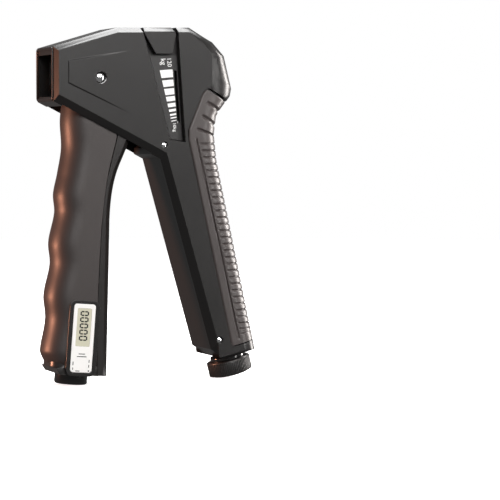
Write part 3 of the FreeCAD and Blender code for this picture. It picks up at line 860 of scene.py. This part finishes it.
@dataclass
class Scale:
    """White scale printed on the left plate: blocks that grow towards the heavy end.

    Args:
        face: depth of the print's face from the middle plane, mm.
        blocks: top and bottom height of each block, mm from the main pin.
        skew: fall of a block's front end, as a share of its depth.
    """

    face: float = 12.06
    blocks: tuple[Pair, ...] = (
        (4.15, 0.6), (-0.5, -3.45), (-4.4, -7.2), (-8.0, -10.1), (-11.1, -12.8), (-13.8, -14.9),
        (-15.9, -16.7), (-17.5, -18.0), (-18.95, -19.3),
    )
    skew: float = 0.09

    def left(self, z: float) -> float:
        """Left end of a block at a height."""
        return 29.3 + (4.15 - z) * 0.245

    def right(self, z: float) -> float:
        """Right end of a block at a height."""
        return 35.5 + (4.15 - z) * 0.09

    def block_mesh(self) -> bpy.types.Mesh:
        """All blocks as thin plates."""
        shape = bmesh.new()
        for top, bottom in self.blocks:
            rim = [(self.left(top), top - self.skew * 6), (self.right(top), top),
                   (self.right(bottom), bottom), (self.left(bottom), bottom - self.skew * 6)]
            front = [shape.verts.new(at(x, -self.face, z)) for x, z in rim]
            back = [shape.verts.new(at(x, 0.05 - self.face, z)) for x, z in rim]
            shape.faces.new(front)
            shape.faces.new(list(reversed(back)))
            for i in range(4):
                j = (i + 1) % 4
                shape.faces.new((front[j], front[i], back[i], back[j]))
        bmesh.ops.recalc_face_normals(shape, faces=shape.faces)
        return to_mesh("scale_blocks", shape)

    def word(self, text: str, x: float, z: float, size: float, tilt: float) -> bpy.types.Object:
        """A word that reads downwards, centred on a point."""
        curve = bpy.data.curves.new("word", "FONT")
        curve.body = text
        curve.size = size * MM
        curve.align_x = "CENTER"
        curve.align_y = "CENTER"
        curve.extrude = 0.00002
        mesh = closed(settled(temporary("word_work", curve)))
        stand = Matrix.Rotation(math.radians(90), 4, "X")
        turn = Matrix.Rotation(math.radians(90 - tilt), 4, "Y")
        mesh.transform(Matrix.Translation(at(x, 0.03 - self.face, z)) @ turn @ stand)
        name = "scale_word_" + text.replace(" ", "_")
        return new_piece(name, mesh, Look.PRINT, "root")

    def build(self) -> None:
        """Makes the blocks and the words."""
        new_piece("scale_blocks", self.block_mesh(), Look.PRINT, "root")
        self.word("120", 33.9, 7.4, 2.9, 5.0)
        self.word("kg", 31.0, 7.6, 3.3, 5.0)
        self.word("10kg", 36.5, -22.4, 2.2, 5.0)


@dataclass
class Adjuster:
    """The knurled knob and what turns or slides with it.

    Args:
        radius: radius between the ridges, mm.
        length: height of the knob, mm.
        end: distance down the screw axis to the knob's lower face, mm.
        ridges: number of ridges round it.
        ridge: size of one ridge, outwards, round and along, mm.
        ridge_bevel: rounding of its edges, mm.
        ridge_middle: height of the ridges' middle over the lower face, mm.
    """

    radius: float = 9.75
    length: float = 7.4
    end: float = 142.6
    ridges: int = 72
    ridge: Point = (1.1, 0.46, 6.2)
    ridge_bevel: float = 0.1
    ridge_middle: float = 3.8

    def knob(self) -> None:
        """Turns the knob and lays its knurl round it."""
        r, tall = self.radius, self.length
        profile = [
            (0.0, tall), (r - 1.0, tall), (r - 0.3, tall - 0.25), (r, tall - 0.9), (r, 1.5),
            (r - 0.35, 0.6), (r - 1.2, 0.1), (r - 2.0, 0.0), (3.3, 0.0), (3.3, 1.5), (0.0, 1.5),
        ]
        core = turned(profile, ROUND_STEPS, screw_frame(self.end))
        piece = new_piece("knob_turned", smooth(core), Look.KNOB, "knob")
        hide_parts("adjuster_knob")
        block = box_mesh("ridge", self.ridge, Matrix.Identity(4), self.ridge_bevel)
        bar = temporary("ridge", block)
        lift = Matrix.Translation(Vector((0, 0, self.ridge_middle * MM)))
        repeater = Repeater("knurl", bar, Look.KNOB).circle()
        place = screw_frame(self.end) @ lift
        knurl = repeater.mesh("knurl", self.ridges, (r + 0.02) * MM, (0, 0, 0), place)
        new_piece("knob_knurl", smooth(knurl), Look.KNOB, "knob")

    def build(self) -> None:
        """Makes the knob and dresses the screw and the block."""
        self.knob()
        refined("knob_collar", 0.2, Look.COLLAR, "knob")
        dress_nodes({
            "lead_screw": Look.STEEL, "knob_screw": Look.STEEL, "screw_ring": Look.SPRING,
            "slider_block": Look.INSIDE, "slider_nut": Look.BRASS, "scale_pointer": Look.PRINT,
        })


@dataclass
class FrontHandle:
    """The moving handle with its finger grip.

    Args:
        half: half thickness, mm.
        round_depth: how far back the finger side is rounded, mm.
        power: squareness of the rounding.
        rows: rows of faces down the grip.
        finger: (x, z) of the finger side, from the top down.
        seam: the same for the seam with the bevelled rear edge.
    """

    half: float = 11.75
    round_depth: float = 11.0
    power: float = 2.25
    rows: int = 170
    finger: tuple[Pair, ...] = (
        (-13.4, -12.0), (-14.1, -20.0), (-13.6, -32.0), (-15.5, -43.5), (-17.5, -53.0),
        (-17.0, -61.5), (-19.9, -75.0), (-19.3, -85.0), (-22.3, -99.0), (-21.6, -110.0),
        (-24.2, -124.0), (-23.9, -127.5),
    )
    seam: tuple[Pair, ...] = (
        (9.0, -22.0), (8.3, -27.5), (4.1, -44.5), (1.3, -65.0), (0.0, -83.0), (-0.8, -99.0),
        (-1.4, -131.6),
    )

    def section(self, z: float) -> list[Vector]:
        """The grip's surface at one height, from the near seam round to the far one."""
        seam_x = on_curve(self.seam, min(z, -22.0))
        front_x = on_curve(self.finger, max(z, -127.5))
        half = self.half
        if z < -124.0:
            drop = min(1.0, (-124.0 - z) / 8.4)
            pull = 1 - math.sqrt(max(0.0, 1 - drop * drop))
            front_x += 7.0 * pull
            half -= 1.6 * pull
        points = []
        for i in range(12):
            points.append((seam_x + (front_x + self.round_depth - seam_x) * i / 12, half))
        steps = 30
        for i in range(steps // 2 + 1):
            angle = math.pi / 2 * i / (steps // 2)
            across = math.cos(angle) ** (2 / self.power) * half
            ahead = math.sin(angle) ** (2 / self.power) * self.round_depth
            points.append((front_x + self.round_depth - ahead, across))
        near = [at(x, -y, z) for x, y in points]
        far = [at(x, y, z) for x, y in reversed(points[:-1])]
        return near + far

    def grip(self) -> None:
        """Makes the rubber with its finger grooves."""
        top, bottom = -12.4, -132.3
        rows = [self.section(top + (bottom - top) * r / self.rows) for r in range(self.rows + 1)]
        mesh = skin(grid_mesh("front_grip", rows), 1.5, at(-4.0, 0.0, -70.0))
        piece = new_piece("front_grip_moulded", mesh, Look.FRONT_RUBBER, "front_handle")
        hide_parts("front_grip")

    def build(self) -> None:
        """Makes the grip, the shells and what lies inside."""
        self.grip()
        for node in ("handle_shell_left", "handle_shell_right"):
            refined(node, 0.35, Look.HANDLE, "front_handle")
        dress_nodes({
            "lever_channel": Look.STEEL, "pivot_bush_left": Look.BRASS,
            "pivot_bush_right": Look.BRASS, "counter_board": Look.BOARD,
            "switch_board": Look.BOARD, "coin_cell": Look.STEEL, "reed_switch": Look.STEEL,
            "tact_switch": Look.INSIDE,
        })
        low, high = (Vector(corner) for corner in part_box("button_spring"))
        middle = (low.x + high.x) / 2
        start, end = Vector((middle, 0, high.z)), Vector((middle, 0, low.z))
        press = Bend("front_handle", "button", start, end)
        refined("button_spring", 0.0, Look.SPRING, press)


def add_block(shape: bmesh.types.BMesh, x: float, z: float, size: Point) -> None:
    """Adds an upright block to a shape, sizes in mm."""
    made = bmesh.ops.create_cube(shape, size=1.0)["verts"]
    bmesh.ops.scale(shape, vec=Vector(size) * MM, verts=made)
    bmesh.ops.translate(shape, vec=Vector((x, 0, z)) * MM, verts=made)


@dataclass
class Display:
    """White panel with the counter's display, and the reset button under it.

    Args:
        digits: number of zeros.
        pitch: distance between digits along the handle, mm.
        face: depth of the digits from the middle plane, mm.
        panel_face: depth of the panel's marks, mm.
        digit_thickness: thickness of a digit, mm.
        mark_thickness: thickness of a mark, mm.
        button_end: distance from the main pin to the button's lower face, mm.
        button_x: where the button's axis crosses the main pin's height, mm.
        button_tall: height of the button, mm.
        button_radius: radius of the button, mm.
    """

    digits: int = 5
    pitch: float = 2.82
    face: float = 12.36
    panel_face: float = 12.44
    digit_thickness: float = 0.05
    mark_thickness: float = 0.04
    button_end: float = 140.6
    button_x: float = 0.65
    button_tall: float = 9.2
    button_radius: float = 7.6

    def zero(self) -> bpy.types.Mesh:
        """One seven-segment zero, lying on its side as it reads down the handle."""
        shape = bmesh.new()
        long_half, wide_half, stroke = 1.72, 0.84, 0.62
        segments = []
        for side in (-1, 1):
            segments.append((side * long_half, 0.0, stroke, 2 * wide_half - 0.15))
            for end in (-1, 1):
                segments.append((end * 0.84, side * wide_half, 1.32, stroke))
        for x, z, wide, tall in segments:
            add_block(shape, x, z, (wide, self.digit_thickness, tall))
        return to_mesh("zero", shape)

    def row_of_zeros(self) -> None:
        """Repeats the zero down the display."""
        unit = temporary("zero", self.zero())
        repeater = Repeater("digits", unit, Look.DIGIT).line()
        top = (self.digits - 1) / 2 * self.pitch
        start = Matrix.Translation(Vector((0, 0, top * MM)))
        place = handle_frame(-7.8, -self.face, -112.7) @ start
        mesh = repeater.mesh("digits", self.digits, 0.0, (0, 0, -self.pitch * MM), place)
        new_piece("lcd_digits", mesh, Look.DIGIT, "front_handle")

    def ticks(self) -> None:
        """Plain marks under the display, where a label would be."""
        shape = bmesh.new()
        marks = [
            (0.0, -7.2, 3.0, 0.35), (0.0, -8.4, 4.6, 0.35), (-3.9, -11.6, 0.35, 1.6),
            (-3.9, -14.0, 0.35, 1.0), (-1.6, -15.0, 2.0, 0.35), (3.7, -10.4, 0.35, 1.4),
            (3.7, -12.6, 0.35, 1.2), (3.7, -14.8, 0.6, 0.6),
        ]
        for x, z, wide, tall in marks:
            add_block(shape, x, z, (wide, self.mark_thickness, tall))
        place = handle_frame(-8.3, -self.panel_face, -118.3)
        bmesh.ops.transform(shape, matrix=place, verts=shape.verts)
        mesh = to_mesh("panel_marks", shape)
        new_piece("panel_marks", mesh, Look.DIGIT, "front_handle")

    def button(self) -> None:
        """Turns the glossy reset button."""
        tall, r = self.button_tall, self.button_radius
        profile = [(0.0, tall), (8.3, tall), (8.3, tall - 1.4), (r, tall - 1.6), (r, 1.0),
                   (r - 0.15, 0.45), (r - 0.6, 0.1), (r - 1.2, 0.0), (0.0, 0.0)]
        x = self.button_x - self.button_end * math.sin(HANDLE_TILT)
        frame_of = handle_frame(x, 0.0, -self.button_end * math.cos(HANDLE_TILT))
        mesh = smooth(turned(profile, ROUND_STEPS, frame_of))
        piece = new_piece("reset_button_turned", mesh, Look.BUTTON, "button")
        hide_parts("reset_button")

    def build(self) -> None:
        """Makes the display and the button."""
        refined("display_bezel", 0.35, Look.HOUSING, "front_handle")
        refined("display_panel", 0.1, Look.PANEL, "front_handle")
        refined("lcd_glass", 0.1, Look.LCD, "front_handle")
        self.row_of_zeros()
        self.ticks()
        self.button()


@dataclass
class Studio:
    """Plain pale floor, soft lights and the camera.

    Args:
        azimuth: direction the camera looks from, degrees.
        elevation: its height angle, degrees.
        distance: from the camera to the aim point, m.
        focal: focal length in picture widths.
        offset: how far the aim point lies off the frame's middle, in picture widths.
        gentle: strength of the surroundings as a light.
        floor_glow: strength of the floor's own light.
        floor_radius: radius of the floor, mm.
        aim: point that the lights face, in metres.
    """

    azimuth: float = -20.0
    elevation: float = 1.5
    distance: float = 1.013
    focal: float = 4.356
    offset: Pair = (0.21, 0.10)
    gentle: float = 0.16
    floor_glow: float = 0.86
    floor_radius: float = 1500.0
    aim: Point = (0.0, 0.0, 0.08)

    def camera(self) -> None:
        """Aims the camera, with the gripper left of the middle of the frame."""
        a, e = math.radians(self.azimuth), math.radians(self.elevation)
        back = Vector((math.sin(a) * math.cos(e), -math.cos(a) * math.cos(e), math.sin(e)))
        right = Vector((math.cos(a), math.sin(a), 0.0))
        up = back.cross(right)
        aim = at(26.3, 0.0, -56.2)
        data = bpy.data.cameras.new("camera")
        data.sensor_width = 36.0
        data.lens = 36.0 * self.focal
        camera = bpy.data.objects.new("camera", data)
        bpy.context.scene.collection.objects.link(camera)
        camera.location = aim + back * self.distance
        look = -back + right * (self.offset[0] / self.focal) - up * (self.offset[1] / self.focal)
        camera.rotation_euler = look.to_track_quat("-Z", "Y").to_euler()
        bpy.context.scene.camera = camera

    def area(self, name: str, place: Point, size: Pair, power: float, colour: Point) -> None:
        """A soft light aimed at the gripper's middle."""
        data = bpy.data.lights.new(name, "AREA")
        data.shape = "RECTANGLE"
        data.size, data.size_y = size
        data.energy = power
        data.color = colour
        light = bpy.data.objects.new(name, data)
        bpy.context.scene.collection.objects.link(light)
        light.location = place
        towards = Vector(self.aim) - light.location
        light.rotation_euler = towards.to_track_quat("-Z", "Y").to_euler()

    def floor(self) -> None:
        """A pale floor disc."""
        net = Net("floor_pale")
        tone = net.between(net.noise(3.0), (0.93, 0.93, 0.93), (0.96, 0.96, 0.96))
        shader = net.add("ShaderNodeBsdfPrincipled", {}, {
            "Base Color": tone, "Roughness": 0.9, "Emission Color": (1.0, 1.0, 1.0, 1.0),
            "Emission Strength": self.floor_glow, "Specular IOR Level": 0.0,
        })
        mesh = turned([(0.0, 0.0), (self.floor_radius, 0.0)], 64, Matrix.Identity(4))
        disc = bpy.data.objects.new("floor", mesh)
        bpy.context.scene.collection.objects.link(disc)
        disc.data.materials.append(net.finish(shader))
        disc.visible_glossy = False
        disc.visible_diffuse = False

    def world(self) -> None:
        """White surroundings that light the gripper gently."""
        world = bpy.data.worlds.new("surroundings")
        world.use_nodes = True
        bpy.context.scene.world = world
        nodes, links = world.node_tree.nodes, world.node_tree.links
        nodes.clear()
        path = nodes.new("ShaderNodeLightPath")
        gentle = nodes.new("ShaderNodeBackground")
        gentle.inputs["Strength"].default_value = self.gentle
        bright = nodes.new("ShaderNodeBackground")
        bright.inputs["Strength"].default_value = 1.0
        for shade in (gentle, bright):
            shade.inputs["Color"].default_value = (1.0, 1.0, 1.0, 1.0)
        mix = nodes.new("ShaderNodeMixShader")
        output = nodes.new("ShaderNodeOutputWorld")
        links.new(path.outputs["Is Camera Ray"], mix.inputs[0])
        links.new(gentle.outputs[0], mix.inputs[1])
        links.new(bright.outputs[0], mix.inputs[2])
        links.new(mix.outputs[0], output.inputs["Surface"])

    def build(self) -> None:
        """Sets the whole stage."""
        self.camera()
        self.world()
        self.floor()
        self.area("top_softbox", (0.12, 0.16, 0.75), (0.60, 0.4), 11.0, (1.0, 1.0, 1.0))
        self.area("warm_side", (-0.5, 0.20, 0.045), (0.12, 0.08), 3.0, (1.0, 0.42, 0.26))
        self.area("back_side", (0.5, 0.05, 0.13), (0.14, 0.40), 4.2, (1.0, 0.95, 0.92))
        self.area("edge_side", (0.36, -0.42, 0.10), (0.05, 0.45), 1.1, (1.0, 0.98, 0.96))
        self.area("front_fill", (0.0, -0.9, 0.5), (0.8, 0.5), 9.5, (1.0, 0.98, 0.97))
        bpy.context.scene.view_settings.view_transform = "Standard"


def main() -> None:
    """Builds the stage and every sub-assembly."""
    logging.basicConfig(level=logging.INFO, format="%(message)s")
    steps: Sequence[tuple[str, Callable[[], None]]] = (
        ("studio", Studio().build), ("housing", Housing().build), ("rear grip", RearGrip().build),
        ("scale", Scale().build), ("adjuster", Adjuster().build),
        ("front handle", FrontHandle().build), ("display", Display().build),
    )
    for name, build in steps:
        LOG.info("building %s", name)
        build()


if __name__ == "__main__":
    main()
